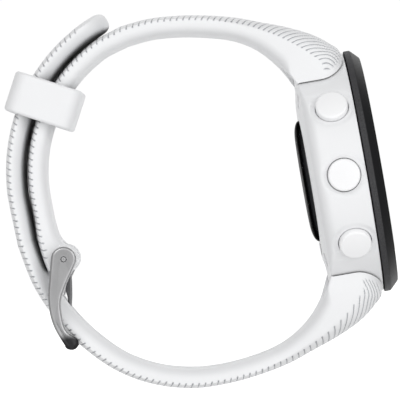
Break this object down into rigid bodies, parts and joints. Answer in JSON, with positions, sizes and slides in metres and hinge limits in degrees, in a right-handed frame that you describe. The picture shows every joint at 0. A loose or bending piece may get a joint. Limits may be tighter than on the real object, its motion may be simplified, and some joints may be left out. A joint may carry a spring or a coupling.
{
  "type": "gps running watch",
  "caption": "Round sports watch with side buttons, rear optical sensor and a soft ribbed strap closed into a loop by a pin buckle and a keeper.",
  "frame": {"origin": "centre of the wrist opening, on the mid-plane of the case and strap", "axes": "+X out through the display, +Z towards 12 o'clock, +Y towards 3 o'clock (along the wrist)"},
  "size_m": [0.0598, 0.04, 0.0617],
  "materials": {
    "white_polymer": "fine satin, moulded fibre-reinforced polymer",
    "black_polymer": "satin",
    "white_silicone": "soft matte silicone",
    "seal_rubber": "matte",
    "lens_glass": "polished",
    "display": "dark reflective display",
    "flex_film": "polyimide film",
    "circuit_board": "solder mask",
    "tinned_steel": "tinned",
    "chip_epoxy": "matte epoxy",
    "gold_plate": "gold flash",
    "steel": "turned",
    "battery_wrap": "foil laminate",
    "sensor_glass": "polished dark polymer",
    "led_lens": "clear epoxy",
    "buckle_metal": "satin with bright bevels"
  },
  "bodies": {
    "watch": {"case_body": "white_polymer", "bezel": "black_polymer", "bezel_seal": "seal_rubber", "lens": "lens_glass", "lens_gasket": "seal_rubber", "display_panel": "display", "display_frame": "black_polymer", "display_flex": "flex_film", "main_board": "circuit_board", "processor_shield": "tinned_steel", "gps_chip": "chip_epoxy", "board_chips": "chip_epoxy", "gps_antenna": "gold_plate", "piezo_buzzer": "gold_plate", "board_screws": "steel", "inner_frame": "black_polymer", "battery": "battery_wrap", "battery_pad": "seal_rubber", "battery_flex": "flex_film", "vibration_motor": "tinned_steel", "button_orings": "seal_rubber", "tact_switches": "tinned_steel", "button_flex": "flex_film", "back_cover": "white_polymer", "back_gasket": "seal_rubber", "back_screws": "steel", "sensor_window": "sensor_glass", "sensor_board": "circuit_board", "sensor_leds": "led_lens", "photodiodes": "chip_epoxy", "charge_port": "black_polymer", "charge_contacts": "gold_plate", "strap_upper": "white_silicone", "strap_lower": "white_silicone", "bar_tube_upper": "steel", "bar_tips_upper": "steel", "bar_spring_upper": "steel", "bar_tube_lower": "steel", "bar_tips_lower": "steel", "bar_spring_lower": "steel"},
    "keeper_loop": {"keeper": "white_silicone"},
    "buckle": {"buckle_frame": "buckle_metal", "buckle_pin": "steel"},
    "tongue": {"buckle_tongue": "buckle_metal"},
    "light_button": {"button_light": "white_polymer", "clip_light": "steel"},
    "up_button": {"button_up": "white_polymer", "clip_up": "steel"},
    "down_button": {"button_down": "white_polymer", "clip_down": "steel"},
    "start_button": {"button_start": "white_polymer", "clip_start": "steel"},
    "back_button": {"button_back": "white_polymer", "clip_back": "steel"}
  },
  "joints": [
    {"name": "light_press", "type": "slide", "parent": "watch", "child": "light_button", "axis": [0, 0.8241, -0.5664], "range_m": [0, 0.0004], "stiffness_N_per_m": 4000, "springref_m": -0.0003},
    {"name": "up_press", "type": "slide", "parent": "watch", "child": "up_button", "axis": [0, 1, 0], "range_m": [0, 0.0004], "stiffness_N_per_m": 4000, "springref_m": -0.0003},
    {"name": "down_press", "type": "slide", "parent": "watch", "child": "down_button", "axis": [0, 0.8241, 0.5664], "range_m": [0, 0.0004], "stiffness_N_per_m": 4000, "springref_m": -0.0003},
    {"name": "start_press", "type": "slide", "parent": "watch", "child": "start_button", "axis": [0, -0.8241, -0.5664], "range_m": [0, 0.0004], "stiffness_N_per_m": 4000, "springref_m": -0.0003},
    {"name": "back_press", "type": "slide", "parent": "watch", "child": "back_button", "axis": [0, -0.8241, 0.5664], "range_m": [0, 0.0004], "stiffness_N_per_m": 4000, "springref_m": -0.0003},
    {"name": "buckle_swing", "type": "hinge", "parent": "watch", "child": "buckle", "pos_m": [-0.0199, 0, -0.0056], "axis": [0, 1, 0], "range_deg": [0, 110]},
    {"name": "tongue_swing", "type": "hinge", "parent": "watch", "child": "tongue", "pos_m": [-0.0199, 0, -0.0056], "axis": [0, 1, 0], "range_deg": [-1, 1.5]},
    {"name": "keeper_slide", "type": "hinge", "parent": "watch", "child": "keeper_loop", "pos_m": [0.002, 0, 0.005], "axis": [0, -1, 0], "range_deg": [-24, 30]}
  ]
}
